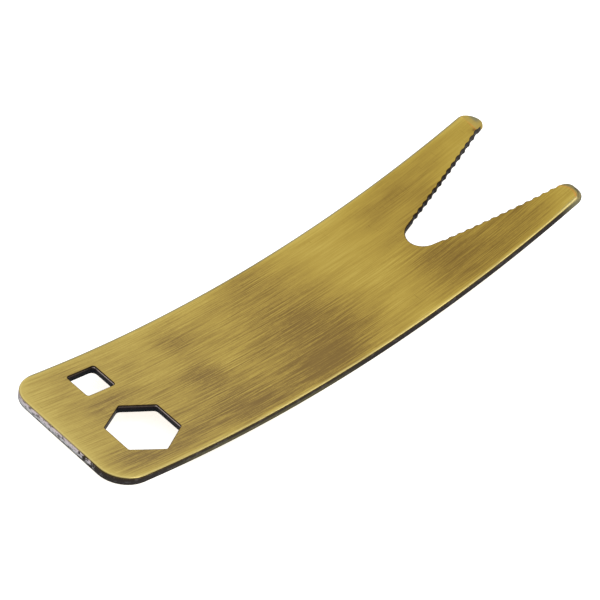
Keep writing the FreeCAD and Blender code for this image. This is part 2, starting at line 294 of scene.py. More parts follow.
def socket_outline(centre, corner_distance, corners, first_turn, corner_radius):
    """A regular socket hole with rounded corners, the metal on its left."""
    half_turn = math.pi / corners
    pull = corner_radius / math.cos(half_turn)
    rounds = []
    for number in range(corners):
        turn = first_turn - 2 * half_turn * number
        middle = (
            centre[0] + (corner_distance - pull) * math.cos(turn),
            centre[1] + (corner_distance - pull) * math.sin(turn),
        )
        turns = (turn + half_turn, turn - half_turn)
        rounds.append(arc(middle, corner_radius, *turns, SOCKET_CORNER_STEPS))
    chain = []
    for points, following in zip(rounds, rounds[1:] + rounds[:1]):
        start, stop = np.array(points[-1]), np.array(following[0])
        side = [tuple(start + (stop - start) * k / SIDE_STEPS) for k in range(1, SIDE_STEPS)]
        chain.extend((point, "socket") for point in points + side)
    return chain


def socket_outlines(name, flats, corners, first_turn, corner_radius):
    """A socket's outline at the hollow face, and the wider one where the punch broke out."""
    centre = (mount_along(name), mounts[name]["pos_m"][1] / MM)
    to_corner = 1 / (2 * math.cos(math.pi / corners))
    entry = socket_outline(centre, flats * to_corner, corners, first_turn, corner_radius)
    wider = (flats + 2 * BREAK_OUT) * to_corner
    return entry, socket_outline(centre, wider, corners, first_turn, BREAK_CORNER)


def grind_gap(along, across):
    """Distance past the near edge of the ground slope; negative on the untouched face."""
    gap = np.full(np.shape(along), NOT_GROUND)
    for centre_along, centre_across, radius, _, _ in TIP_GRINDS:
        ahead = along - centre_along
        reach = np.hypot(np.maximum(ahead, 0), across - centre_across) - radius
        reach += np.minimum(ahead, 0) * GRIND_SPREAD
        gap = np.where(across * centre_across > 0, np.maximum(reach, NOT_GROUND), gap)
    return gap


def ground_depth(along, across):
    """How far the ground tips have been taken down from the hollow face."""
    gap = np.maximum(grind_gap(along, across), 0)
    slope = np.where(across > 0, FAR_GRIND[3], NEAR_GRIND[3])
    growth = np.where(across > 0, FAR_GRIND[4], NEAR_GRIND[4])
    return gap * (slope + growth * gap)


# --- mesh ---------------------------------------------------------------------------------------


class Shell:
    """Collects the spanner's vertices, their attributes and the faces between them."""

    def __init__(self):
        self.points = []
        self.walls = []
        self.drops = []
        self.faces = []

    def add(self, place, depth, wall, drop):
        """Add a vertex and return its number.

        wall is how far it has turned from a face, from 0 to 1, and 1 more where the edge was
        punched. drop is how far down the sheet it is, from 0 to 1.
        """
        self.points.append((*place, depth))
        self.walls.append(wall)
        self.drops.append(drop)
        return len(self.points) - 1


def loop_rolls(kinds, points):
    """Roll-over at each point of a loop, for its top and bottom edges, blended along it."""
    bottom = np.array([EDGE_ROLLS[kind] for kind in kinds])
    gap = grind_gap(points[:, 0], points[:, 1])
    top = np.where(gap > -CRISP_LEAD, GROUND_ROLL, bottom)
    for _ in range(ROLL_PASSES):
        top = (np.roll(top, 1) + top * 2 + np.roll(top, -1)) / 4
        bottom = (np.roll(bottom, 1) + bottom * 2 + np.roll(bottom, -1)) / 4
    room = SHEET - THINNEST_WALL - bottom - ground_depth(points[:, 0], points[:, 1])
    return np.minimum(top + SOFTENED_ROLL * softened_at(points), room), bottom


def softened_at(points):
    """How far the near prong's outer edge has been softened, growing towards its tip."""
    growing = share(points[:, 0], *SOFTENED_ALONG) ** 3
    return growing * share(points[:, 1], *SOFTENED_ACROSS)


def inward_normals(points):
    """Unit normals into the metal at each point of a loop, stretched a little at corners."""
    ahead = np.roll(points, -1, axis=0) - points
    ahead /= np.linalg.norm(ahead, axis=1)[:, None]
    behind = np.roll(ahead, 1, axis=0)
    both = ahead + behind
    both /= np.linalg.norm(both, axis=1)[:, None]
    spread = np.clip((both * ahead).sum(axis=1), LEAST_SPREAD, 1.0)
    return np.stack((-both[:, 1], both[:, 0]), axis=1) / spread[:, None]


def ring_levels():
    """The rings of a loop from face to face: (zone, share, inset, drop, how far it has turned)."""
    turns = np.linspace(0, math.pi / 2, ROLL_STEPS + 1)
    rolled = [(1 - math.sin(t), 1 - math.cos(t), math.sin(t)) for t in turns]
    top = [("top", *step) for step in rolled]
    wall = [("wall", 0.0, drop, 1.0) for drop in WALL_RINGS]
    bottom = [("bottom", *step) for step in rolled[::-1]]
    return [("top support", 1.0, 0.0, 0.0), *top, *wall, *bottom, ("bottom support", 1.0, 0.0, 0.0)]


def notch_widening(chain, normals):
    """How far each point of the blank's outline moves into the metal where the notch broke out."""
    level = np.array([float(kind == "notch") for _, kind in chain])
    for _ in range(BREAK_OUT_PASSES):
        level = np.minimum(level, (np.roll(level, 1) + level + np.roll(level, -1)) / 3)
    return normals * (NOTCH_BREAK_OUT * level)[:, None]


def add_loop(shell, chain, far_chain):
    """Build the rolled edges and the wall of one closed loop; return its two innermost rings."""
    points = np.array([point for point, _ in chain])
    normals = inward_normals(points)
    if chain is far_chain:
        widening = notch_widening(chain, normals)
    else:
        widening = np.array([point for point, _ in far_chain]) - points
    rolls = loop_rolls([kind for _, kind in chain], points)
    top_roll, bottom_roll = rolls
    punched = np.array([kind in ("socket", "notch") for _, kind in chain])
    rings = []
    for zone, inset_share, drop_share, turned in ring_levels():
        face, _, support = zone.partition(" ")
        through = {"top": 0.0, "wall": drop_share, "bottom": 1.0}[face]
        place = points + widening * share(through, BREAK_START, 1)
        roll = bottom_roll if face == "bottom" else top_roll
        inset = roll * inset_share + (SUPPORT if support else 0)
        place = place + normals * inset[:, None]
        ground = ground_depth(place[:, 0], place[:, 1])
        depth = ring_depth(face, drop_share, ground, rolls)
        drop = (depth - ground) / (SHEET - ground)
        wall = np.where(punched & (not support), 1 + turned, turned)
        each = zip(place, depth, wall, drop)
        rings.append([shell.add(spot, *rest) for spot, *rest in each])
    for upper, lower in zip(rings, rings[1:]):
        for k in range(len(points)):
            j = (k + 1) % len(points)
            shell.faces.append((upper[k], lower[k], lower[j], upper[j]))
    return rings[0], rings[-1]


def ring_depth(face, drop_share, ground, rolls):
    """Depth of one ring of a loop: in its top roll, down its wall, or in its bottom roll."""
    top_roll, bottom_roll = rolls
    if face == "top":
        return ground + top_roll * drop_share
    if face == "bottom":
        return SHEET - bottom_roll * drop_share
    upper, lower = ground + top_roll, SHEET - bottom_roll
    return upper + (lower - upper) * drop_share


def inside(points, loops):
    """Which points lie in the metal, by the even-odd rule over all loops."""
    found = np.zeros(len(points), bool)
    for loop in loops:
        for (x0, y0), (x1, y1) in zip(loop, np.roll(loop, -1, axis=0)):
            if y0 == y1:
                continue
            crosses = (points[:, 1] > y0) != (points[:, 1] > y1)
            where = x0 + (points[:, 1] - y0) * (x1 - x0) / (y1 - y0)
            found ^= crosses & (points[:, 0] < where)
    return found


def gap_to_edges(points, edges):
    """Distance from each point to the nearest of these (start, stop) edges."""
    best = np.full(len(points), np.inf)
    for start, stop in edges:
        span = stop - start
        nearest = np.clip(((points - start) @ span) / (span @ span), 0, 1)
        away = points - start - nearest[:, None] * span
        best = np.minimum(best, np.hypot(away[:, 0], away[:, 1]))
    return best


def gap_to_loops(points, loops):
    """Distance from each point to the nearest loop."""
    edges = [pair for loop in loops for pair in zip(loop, np.roll(loop, -1, axis=0))]
    return gap_to_edges(points, edges)


def gap_to_kinds(points, chains, kinds):
    """Distance from each point to the nearest edge of these kinds."""
    edges = []
    for chain in chains:
        for (start, kind), (stop, next_kind) in zip(chain, chain[1:] + chain[:1]):
            if kind in kinds and next_kind in kinds:
                edges.append((np.array(start), np.array(stop)))
    return gap_to_edges(points, edges)


def crease_points(grind):
    """Points along the near edge of one ground slope, across its prong."""
    centre_along, centre_across, radius, _, _ = grind
    reach = math.asin(min(1, CREASE_HALF_WIDTH / radius))
    return np.array(arc((centre_along, centre_across), radius, -reach, reach, CREASE_STEPS))


def face_grid(loops, creases):
    """Evenly spaced points in the metal, clear of its edges and of the creases."""
    row_step = FACE_STEP * math.sqrt(3) / 2
    grid = []
    for row in range(int(width / row_step) + 1):
        across = row * row_step - width / 2
        start = FACE_STEP / 2 * (row % 2)
        grid.extend((along, across) for along in np.arange(start, STRIP_LENGTH, FACE_STEP))
    grid = np.array(grid)
    keep = inside(grid, loops) & (gap_to_loops(grid, loops) > FACE_STEP * EDGE_CLEARANCE)
    for crease in creases:
        away = np.hypot(*(grid[:, None, :] - crease[None, :, :]).transpose(2, 0, 1))
        keep &= away.min(axis=1) > CREASE_CLEARANCE
    return grid[keep]


def face_vertices(shell, places, origins, owners, top):
    """Vertex numbers for these places of a face: a ring's own, or new ones where there is none."""
    numbers = []
    for place, source in zip(places, origins):
        known = next((owners[k] for k in source if owners[k] is not None), None)
        if known is None:
            depth = float(ground_depth(place[0], place[1])) if top else SHEET
            known = shell.add(place[:2], depth, 0.0, 0.0 if top else 1.0)
        numbers.append(known)
    return numbers


def fill_face(shell, rings, top):
    """Fill one face between the innermost rings of all loops, with even triangles."""
    loops = [np.array([shell.points[k][:2] for k in ring]) for ring in rings]
    creases = [crease_points(grind) for grind in TIP_GRINDS] if top else []
    corners, owners, edges = [], [], []
    for ring, loop in zip(rings, loops):
        start = len(corners)
        corners.extend(map(tuple, loop))
        owners.extend(ring)
        edges.extend((start + k, start + (k + 1) % len(ring)) for k in range(len(ring)))
    corners.extend(map(tuple, face_grid(loops, creases)))
    for crease in creases:
        held = crease[inside(crease, loops) & (gap_to_loops(crease, loops) > CREASE_MARGIN)]
        start = len(corners)
        corners.extend(map(tuple, held))
        edges.extend((start + k, start + k + 1) for k in range(len(held) - 1))
    owners.extend([None] * (len(corners) - len(owners)))
    flat = [Vector(corner) for corner in corners]
    verts, _, triangles, origins, _, _ = delaunay_2d_cdt(flat, edges, [], 0, SAME_CORNER)
    places = np.array([tuple(v) for v in verts])
    numbers = face_vertices(shell, places, origins, owners, top)
    centres = np.array([places[list(tri)].mean(axis=0) for tri in triangles])
    for tri, held in zip(triangles, inside(centres, loops)):
        if held:
            face = tuple(numbers[k] for k in tri)
            shell.faces.append(face if top else face[::-1])


def patina_at(points):
    """How dark the brushed faces have been left: broad soft patches, turned about underneath."""
    under = points[:, 2] > SHEET / 2
    length_at = np.where(under, STRIP_LENGTH - points[:, 0], points[:, 0])
    breadth_at = np.where(under, -points[:, 1], points[:, 1])
    total = np.zeros(len(points))
    for along, across, length, breadth, strength in PATINA_PATCHES:
        reach = ((length_at - along) / length) ** 2 + ((breadth_at - across) / breadth) ** 2
        total += strength * np.exp(-reach)
    return np.clip(total, *PATINA_LIMITS)


# The least and the most that the patches may add up to.
PATINA_LIMITS = (-0.6, 1.2)
# Darker patches where the brushing took less of the antiquing off, and (below zero) brighter
# ones: (along, across, half length, half breadth, strength). The widest go right across.
PATINA_PATCHES = (
    (50, 0, 9, 60, 0.55),
    (29, 0, 3.5, 60, 0.25),
    (38, 0, 7, 60, 0.12),
    (82, 0, 7, 60, 0.42),
    (94, 0, 9, 60, 0.3),
    (66, 0, 5, 60, -0.04),
    (2, 0, 7, 60, -0.15),
    (52, -9.5, 60, 6, 0.22),
    (52, 14, 60, 3.5, -0.2),
    (53, -4, 6, 5, 0.3),
    (50, -11, 7, 3, 0.2),
    (29, -1.5, 3, 2.2, 0.25),
    (31, -10.5, 6, 3, 0.35),
    (8, -11.3, 5, 2.2, 0.4),
    (11, -12.4, 5, 1.6, 0.5),
    (12, 2.3, 4, 1.8, 0.85),
    (22, 13, 9, 2.5, -0.2),
    (44, -9.5, 4, 3, 0.15),
    (7, 8.0, 3.5, 4, 0.2),
    (20, 0, 5, 40, 0.1),
    (21, -11.5, 8, 2.5, 0.15),
    (0.5, 0, 2.2, 60, -0.25),
    (78, -8.5, 4, 4, 0.25),
    (90, -11, 8, 3, 0.2),
    (28, -2, 4, 4.5, 0.2),
    (4, -9.5, 3.5, 3, 0.2),
    (38, -13, 10, 2.5, 0.2),
    (76, 10, 3, 4, 0.2),
    (76, -6, 4, 4, 0.15),
    (102.9, 10.5, 0.5, 0.5, 1.2),
    (11, 12.3, 4, 2.4, 0.45),
    (8, 0.2, 3.5, 2, 0.35),
    (6, -9, 2, 2.5, 0.3),
    (20, 8, 3, 4, 0.2),
    (22, -9, 3, 2.5, 0.2),
    (30, 8.5, 3, 3, 0.3),
    (31, -2, 3, 3, 0.3),
    (34, 12, 3, 3, 0.25),
    (46, -11.2, 4, 2, 0.25),
    (27, 6.5, 2.5, 2.5, -0.22),
    (80, 6.5, 5, 2.5, -0.2),
    (49, 6.8, 5, 2.5, -0.2),
    (39, -7, 3, 2, -0.2),
    (62, 7, 3, 2, -0.18),
    (103, 13, 4, 4, -0.1),
    (97.5, 9.0, 5, 3.2, -0.42),
    (93, 6.3, 4, 1.6, -0.3),
    (68, -9.5, 4, 3.5, -0.2),
    (80, -9, 6, 3.5, -0.15),
    (103, -13, 4, 4, -0.35),
)


# Where the socket end's wall begins to be rubbed bare and lighter (partly a painted
# reflection), and where it is wholly so.
BARE_AND_LIT_ALONG = (4.32, 2.32)
BARE_AND_LIT_ACROSS = (-11.0, -3.0)


def bare_and_lit_at(points):
    """How far the sheared wall is rubbed bare, with a painted reflection: the socket end's wall,
    except near one corner.
    """
    from_end = share(points[:, 0], *BARE_AND_LIT_ALONG)
    return from_end * share(points[:, 1], *BARE_AND_LIT_ACROSS)


def build_spanner():
    """Make the spanner's mesh with its attributes."""
    shell = Shell()
    blank = blank_outline()
    outlines = [
        (blank, blank),
        socket_outlines("hex_socket", HEX_FLATS, 6, math.pi / 2, HEX_CORNER),
        socket_outlines("square_socket", SQUARE_SIDE, 4, math.pi / 4, SQUARE_CORNER),
    ]
    rings = [add_loop(shell, *pair) for pair in outlines]
    fill_face(shell, [ring[0] for ring in rings], True)
    fill_face(shell, [ring[1] for ring in rings], False)

    flat = np.array(shell.points)
    mesh = bpy.data.meshes.new("spanner")
    mesh.from_pydata(bow(flat), [], shell.faces)
    chains = [chain for chain, _ in outlines]
    angle = bow_angle(flat[:, 0])
    grain = np.stack((np.cos(angle), np.zeros(len(angle)), np.sin(angle)), axis=1)
    write_attribute(mesh, "flat", "FLOAT_VECTOR", "vector", flat)
    write_attribute(mesh, "grain", "FLOAT_VECTOR", "vector", grain)
    write_attribute(mesh, "wall", "FLOAT", "value", shell.walls)
    write_attribute(mesh, "drop", "FLOAT", "value", shell.drops)
    rim_gap = gap_to_kinds(flat[:, :2], chains, ("sheared", "tip"))
    punch_gap = gap_to_kinds(flat[:, :2], chains, ("socket",))
    write_attribute(mesh, "rim_gap", "FLOAT", "value", rim_gap)
    write_attribute(mesh, "punch_gap", "FLOAT", "value", punch_gap)
    write_attribute(mesh, "softened", "FLOAT", "value", softened_at(flat))
    write_attribute(mesh, "grind", "FLOAT", "value", grind_gap(flat[:, 0], flat[:, 1]))
    write_attribute(mesh, "patina", "FLOAT", "value", patina_at(flat))
    write_attribute(mesh, "bare", "FLOAT", "value", bare_and_lit_at(flat))
    mesh.polygons.foreach_set("use_smooth", [True] * len(mesh.polygons))
    mesh.set_sharp_from_angle(angle=SHARP_ANGLE)
    mesh.validate()
    spanner = bpy.data.objects.new("spanner", mesh)
    bpy.context.scene.collection.objects.link(spanner)
    return spanner


def write_attribute(mesh, name, kind, field, values):
    """Store one value per vertex under this name."""
    attribute = mesh.attributes.new(name, kind, "POINT")
    attribute.data.foreach_set(field, np.asarray(values, np.float32).ravel())


# --- material -----------------------------------------------------------------------------------


class Nodes:
    """Small helpers for writing a node tree in order."""

    def __init__(self, name):
        self.material = bpy.data.materials.new(name)
        self.material.use_nodes = True
        self.tree = self.material.node_tree
        self.tree.nodes.clear()

    def node(self, kind, **settings):
        """Add a node of this kind with these settings."""
        made = self.tree.nodes.new(kind)
        for key, setting in settings.items():
            setattr(made, key, setting)
        return made

    def feed(self, socket, source):
        """Link a source into a socket, or set a plain value on it."""
        if isinstance(source, bpy.types.NodeSocket):
            self.tree.links.new(source, socket)
        else:
            socket.default_value = source

    def attribute(self, name, output="Fac"):
        """A value that the mesh carries at each vertex."""
        return self.node("ShaderNodeAttribute", attribute_name=name).outputs[output]

    def split(self, vector):
        """The three parts of a vector."""
        apart = self.node("ShaderNodeSeparateXYZ")
        self.feed(apart.inputs[0], vector)
        return apart.outputs

    def math(self, operation, first, second, clamp=False):
        """One arithmetic step."""
        made = self.node("ShaderNodeMath", operation=operation, use_clamp=clamp)
        self.feed(made.inputs[0], first)
        self.feed(made.inputs[1], second)
        return made.outputs[0]

    def total(self, first, *others):
        """All of these added up."""
        for other in others:
            first = self.math("ADD", first, other)
        return first

    def product(self, first, *others):
        """All of these multiplied together."""
        for other in others:
            first = self.math("MULTIPLY", first, other)
        return first

    def ramp(self, source, low, high, to_low=0.0, to_high=1.0):
        """Smoothly map a value from low..high to to_low..to_high, held at both ends."""
        made = self.node("ShaderNodeMapRange", interpolation_type="SMOOTHSTEP", clamp=True)
        for socket, number in zip(made.inputs, (source, low, high, to_low, to_high)):
            self.feed(socket, number)
        return made.outputs[0]

    def fade(self, source, low, high, most=1.0):
        """Smoothly bring a value down from most at low to nothing at high."""
        return self.ramp(source, low, high, most, 0.0)

    def colours(self, source, stops):
        """A colour ramp through (value, colour) stops."""
        low, high = stops[0][0], stops[-1][0]
        scaled = self.math("DIVIDE", self.math("SUBTRACT", source, low), high - low, clamp=True)
        made = self.node("ShaderNodeValToRGB")
        self.feed(made.inputs[0], scaled)
        bar = made.color_ramp.elements
        while len(bar) < len(stops):
            bar.new(0.5)
        for element, (value, colour) in zip(bar, stops):
            element.position = (value - low) / (high - low)
            element.color = (*colour, 1)
        return made.outputs[0]

    def mix(self, share_of_second, first, second):
        """Blend two colours."""
        made = self.node("ShaderNodeMix", data_type="RGBA")
        self.feed(made.inputs["Factor"], share_of_second)
        self.feed(made.inputs["A"], first)
        self.feed(made.inputs["B"], second)
        return [out for out in made.outputs if out.type == "RGBA"][0]

    def mix_values(self, share_of_second, first, second):
        """Blend two plain values."""
        made = self.node("ShaderNodeMix", data_type="FLOAT")
        self.feed(made.inputs["Factor"], share_of_second)
        self.feed(made.inputs["A"], first)
        self.feed(made.inputs["B"], second)
        return made.outputs[0]

    def noise(self, place, stretch, detail, roughness=0.5):
        """Noise on the flat blank, stretched by a different amount along and across it."""
        scaled = self.node("ShaderNodeVectorMath", operation="MULTIPLY")
        self.feed(scaled.inputs[0], place)
        scaled.inputs[1].default_value = stretch
        made = self.node("ShaderNodeTexNoise", noise_dimensions="3D")
        self.feed(made.inputs["Vector"], scaled.outputs[0])
        made.inputs["Scale"].default_value = 1.0
        made.inputs["Detail"].default_value = detail
        made.inputs["Roughness"].default_value = roughness
        return made.outputs[0]


# The brushed face, from the brightest brass to the darkest patina.
BRASS_STOPS = (
    (-0.5, (0.451, 0.341, 0.076)),
    (0.0, (0.352, 0.249, 0.046)),
    (0.5, (0.266, 0.176, 0.035)),
    (1.0, (0.190, 0.116, 0.028)),
)
# Paler brass towards the socket end, painted shade round a punched hole's rolled edge, the
# brighter brass along an eased rim (burnished, and partly a painted highlight), painted shade
# along the far rim where its roll turns away, and the faded rim of the near tip.
HAZE = (0.51, 0.49, 0.40, 1)
# Painted shade round a punched hole, standing in for its rolled edge turning dark.
PUNCH_EDGE_SHADE = (0.10, 0.07, 0.03, 1)
RIM_HIGHLIGHT_BRASS = (0.58, 0.48, 0.18, 1)
# Painted shade along the far rim, where its roll turns away from the light.
FAR_RIM_SHADE = (0.13, 0.125, 0.085, 1)
FADED_BRASS = (0.33, 0.29, 0.15, 1)
# A wall from its top edge down to its bottom edge: sheared and left dark, punched, or bare
# and lighter, partly a painted reflection.
DARK_WALL = (
    (0.0, (0.070, 0.044, 0.014)),
    (0.3, (0.026, 0.021, 0.018)),
    (0.75, (0.029, 0.026, 0.025)),
    (1.0, (0.018, 0.016, 0.015)),
)
PUNCHED_WALL = (
    (0.0, (0.030, 0.017, 0.007)),
    (0.1, (0.020, 0.012, 0.007)),
    (0.35, (0.014, 0.011, 0.013)),
    (0.75, (0.007, 0.009, 0.012)),
    (1.0, (0.004, 0.004, 0.005)),
)
BARE_AND_LIT_WALL = (
    (0.0, (0.36, 0.24, 0.11)),
    (0.22, (0.47, 0.41, 0.43)),
    (0.65, (0.36, 0.36, 0.37)),
    (0.82, (0.10, 0.10, 0.095)),
    (1.0, (0.04, 0.04, 0.038)),
)
# What lies over the walls: olive tarnish, painted glints, the burnished band in the holes
# painted bright as a highlight on their fork-side walls, and the greyer, worn part of the notch's
# teeth.
OLIVE_WALL = (0.105, 0.095, 0.048, 1)
PAINTED_GLINT = (0.62, 0.62, 0.62, 1)
BURNISH_HIGHLIGHT = (0.42, 0.36, 0.34, 1)
WORN_PUNCHED = (0.045, 0.040, 0.036, 1)
# The ground tips: fresh metal, painted shade on its outer part where the slope turns away and
# on the near one's end, and the copper underplating laid bare along the crease.
GROUND_METAL = (0.37, 0.27, 0.062, 1)
GROUND_DARK = (0.20, 0.185, 0.10, 1)
SLATE_SHADE = (0.07, 0.07, 0.065, 1)
COPPER_LINE = (0.50, 0.22, 0.05, 1)
# Tarnish keeps the metal from turning white where it is seen at a glancing angle.
GRAZING_TINT = (0.63, 0.63, 0.63, 1)

# How the brushing lies in the shader: its strength, its quarter turn from the grain's
# direction, and the strength and depth (in metres) of the relief.
BRUSHING = 0.6
BRUSHING_TURN = 0.25
RELIEF_STRENGTH = 0.35
RELIEF_DEPTH = 0.00006


def surface_inputs(n):
    """What the spanner's mesh carries, and the noises laid over its flat blank."""
    names = ("wall", "drop", "grind", "patina", "rim_gap", "punch_gap", "softened", "bare")
    at = SimpleNamespace(**{name: n.attribute(name) for name in names})
    at.place = n.attribute("flat", "Vector")
    at.along, at.across, _ = n.split(at.place)
    at.broad = n.noise(at.place, (0.07, 0.22, 1.0), 3.0)
    at.bands = n.noise(at.place, (0.06, 1.9, 1.0), 3.0, 0.6)
    at.lines = n.noise(at.place, (0.07, 4.8, 1.0), 1.0, 0.4)
    at.hairs = n.noise(at.place, (0.13, 6.0, 1.0), 3.0, 0.6)
    at.fine = n.noise(at.place, (1.2, 15.0, 1.0), 3.0, 0.6)
    at.scratches = n.noise(at.place, (6.0, 0.45, 1.0), 2.0)
    at.speckle = n.noise(at.place, (5.0, 5.0, 2.5), 4.0, 0.65)
    at.mottle = n.noise(at.place, (0.9, 0.9, 2.2), 4.0, 0.6)
    return at


def darkness(n, at):
    """How dark the brushed face is: patina, soft bands, brushed lines and a few scratches."""
    broad = n.ramp(at.broad, 0.3, 0.7, -0.12, 0.12)
    bands = n.ramp(at.bands, 0.3, 0.7, -0.09, 0.09)
    streaks = n.total(
        n.ramp(at.hairs, 0.34, 0.66, -0.45, 0.45),
        n.ramp(at.fine, 0.3, 0.7, -0.3, 0.3),
        n.ramp(at.lines, 0.42, 0.58, -0.22, 0.22),
    )
    # The lines are deeper in the patina and at the socket end, and faint on the far prong.
    far_prong = n.product(n.ramp(at.across, -2, 8), n.ramp(at.along, 52, 64), 0.45)
    depth = n.product(
        n.ramp(at.patina, -0.1, 0.9, 0.3, 0.75),
        n.ramp(at.along, 30, 75, 1.5, 0.9),
        n.math("SUBTRACT", 1.0, far_prong),
    )
    scratches = n.product(
        n.ramp(at.scratches, 0.62, 0.72, 0.0, 0.35), n.ramp(at.broad, 0.5, 0.6)
    )
    dark = n.total(at.patina, broad, bands, n.product(streaks, depth), scratches)
    # Lighter towards the outer rims: partly a painted highlight.
    return n.math("SUBTRACT", dark, n.fade(at.rim_gap, 0.3, 1.8, 0.28))


def face_colour(n, at, dark):
    """The brushed face, with its rims, ground tips and copper creases."""
    haze = n.fade(at.along, -20.0, 95.0, 0.09)
    face = n.mix(haze, n.colours(dark, BRASS_STOPS), HAZE)
    # Brighter brass along the outer rims: partly a burnished edge, partly a painted highlight.
    face = n.mix(n.fade(at.rim_gap, 0.0, 0.6, 0.8), face, RIM_HIGHLIGHT_BRASS)
    # Painted shade along the far rim, where its roll turns away from the light.
    face = n.mix(n.ramp(at.across, 14.4, 14.85, 0.0, 0.85), face, FAR_RIM_SHADE)
    # Painted shade round each punched hole, standing in for its rolled edge turning dark.
    face = n.mix(n.fade(at.punch_gap, 0.08, 0.2, 0.65), face, PUNCH_EDGE_SHADE)
    face = n.mix(n.ramp(at.grind, -0.04, 0.1), face, ground_colour(n, at))
    face = n.mix(copper_share(n, at), face, COPPER_LINE)
    faded = n.product(n.ramp(at.softened, 0.2, 0.9), n.ramp(at.wall, 0.05, 0.3, 0.0, 0.6))
    return n.mix(faded, face, FADED_BRASS)


def ground_colour(n, at):
    """The ground tips: fresh metal near the crease, with painted shade further out where the slope
    turns away.
    """
    # The painted shade starts sooner on the near tip than on the far one.
    shade_from = n.ramp(at.across, -1, 1, 0.1, 0.7)
    shade_to = n.ramp(at.across, -1, 1, 0.7, 1.5)
    near_tip = n.product(n.ramp(at.across, -14.3, -13.4, 0.3, 0.8), n.fade(at.across, 0, 1))
    outer = n.total(near_tip, n.ramp(at.across, 10.9, 12.6))
    # Painted shade over the outer part of each ground slope, where it turns away from the light.
    painted_ground_shade = n.product(n.ramp(at.grind, shade_from, shade_to), outer)
    ground = n.mix(painted_ground_shade, GROUND_METAL, GROUND_DARK)
    # Painted shade on the near tip's end.
    tip_end_shade = n.product(
        n.ramp(at.across, -14.4, -13.9),
        n.fade(at.across, -12.9, -12.3),
        n.ramp(at.grind, 0.3, 0.65, 0.0, 0.85),
    )
    ground = n.mix(tip_end_shade, ground, SLATE_SHADE)
    return n.mix(n.ramp(at.speckle, 0.4, 0.7, 0.0, 0.35), ground, GROUND_DARK)


def copper_share(n, at):
    """How much copper shows along a crease: least at the far prong's outer rim."""
    showing = n.total(n.fade(at.across, -14.7, -13.4), n.fade(at.across, 11.6, 13.3))
    return n.product(
        n.ramp(at.grind, -0.3, -0.02),
        n.fade(at.grind, 0.04, 0.2),
        n.total(n.product(showing, 0.4), 0.15),
        n.fade(at.wall, 0.2, 0.5),
    )


def wall_share_at(n, at):
    """Where a wall shows instead of the face: below the roll, and lower where it was softened."""
    reach = n.product(at.softened, n.ramp(at.along, 99.0, 105.5, 0.34, 0.42))
    unsoftened = n.ramp(at.drop, n.math("SUBTRACT", reach, 0.3), n.total(reach, 0.05))
    return n.product(n.ramp(at.wall, 0.66, 0.84), unsoftened)


def sheared_colour(n, at):
    """The outer walls: dark, olive in one stretch; at the socket end rubbed bare and lighter,
    partly a painted reflection, with painted glints.
    """
    olive = n.product(
        n.ramp(at.along, 8, 20), n.fade(at.along, 42, 56), n.ramp(at.drop, 0.3, 0.6, 0.0, 0.75)
    )
    dark_wall = n.mix(olive, n.colours(at.drop, DARK_WALL), OLIVE_WALL)
    bare = n.total(at.bare, n.ramp(at.mottle, 0.38, 0.62, -0.62, 0.3))
    # The socket end's wall: rubbed bare, and lighter in part as a painted reflection.
    sheared = n.mix(n.ramp(bare, 0.2, 0.8), dark_wall, n.colours(at.drop, BARE_AND_LIT_WALL))
    # Painted glints on the bare wall.
    painted_glints = n.product(n.ramp(at.speckle, 0.55, 0.75), n.ramp(bare, 0.0, 1.0, 0.06, 0.5))
    return n.mix(painted_glints, sheared, PAINTED_GLINT)


def punched_colour(n, at):
    """The walls of the holes and the notch: dark, with a burnished band painted bright as a
    highlight on the holes' fork side.
    """
    # Where each hole's fork-side wall begins: the hexagon's is further along than the square's.
    forkward = n.math("SUBTRACT", at.along, n.ramp(at.across, 1.0, 5.0, 17.75, 15.2))
    # A burnished band, its brightness a painted highlight on the holes' fork-side walls only.
    burnish_highlight = n.product(
        n.ramp(at.drop, 0.1, 0.15),
        n.fade(at.drop, 0.22, 0.3),
        n.ramp(forkward, 0.0, 0.35, 0.12, 0.75),
        n.fade(at.along, 20.0, 60.0),
    )
    punched = n.mix(burnish_highlight, n.colours(at.drop, PUNCHED_WALL), BURNISH_HIGHLIGHT)
    return n.mix(n.ramp(at.along, 90.0, 103.0, 0.0, 0.8), punched, WORN_PUNCHED)


def wall_colour(n, at):
    """All the walls, and what the grinding of the tips and the softening did to them."""
    walls = n.mix(n.ramp(at.wall, 1.0, 1.02), sheared_colour(n, at), punched_colour(n, at))
    run_over = n.product(
        n.ramp(at.grind, 0.9, 1.4), n.fade(at.across, 12.4, 13.6), n.ramp(at.across, 0.0, 8.0)
    )
    walls = n.mix(run_over, walls, GROUND_METAL)
    rubbed = n.product(n.ramp(at.along, 98.5, 103.5, 0.0, 0.75), n.fade(at.across, -15, -14))
    return n.mix(rubbed, walls, GROUND_DARK)


def relief(n, at, wall_share):
    """Bump from the brushed lines on the faces and from the torn metal on the walls."""
    brushed = n.total(n.product(at.hairs, 0.6), n.product(at.fine, 0.4))
    brushed = n.product(brushed, n.math("SUBTRACT", 1.0, wall_share))
    torn = n.product(at.speckle, n.product(wall_share, 1.6))
    bump = n.node("ShaderNodeBump")
    bump.inputs["Strength"].default_value = RELIEF_STRENGTH
    bump.inputs["Distance"].default_value = RELIEF_DEPTH
    n.feed(bump.inputs["Height"], n.total(brushed, torn))
    return bump.outputs[0]


def grain_direction(n):
    """The direction of the brushing, which follows the bow."""
    turn = n.node(
        "ShaderNodeVectorTransform", vector_type="VECTOR", convert_from="OBJECT",
        convert_to="WORLD",
    )
    n.feed(turn.inputs[0], n.attribute("grain", "Vector"))
    return turn.outputs[0]


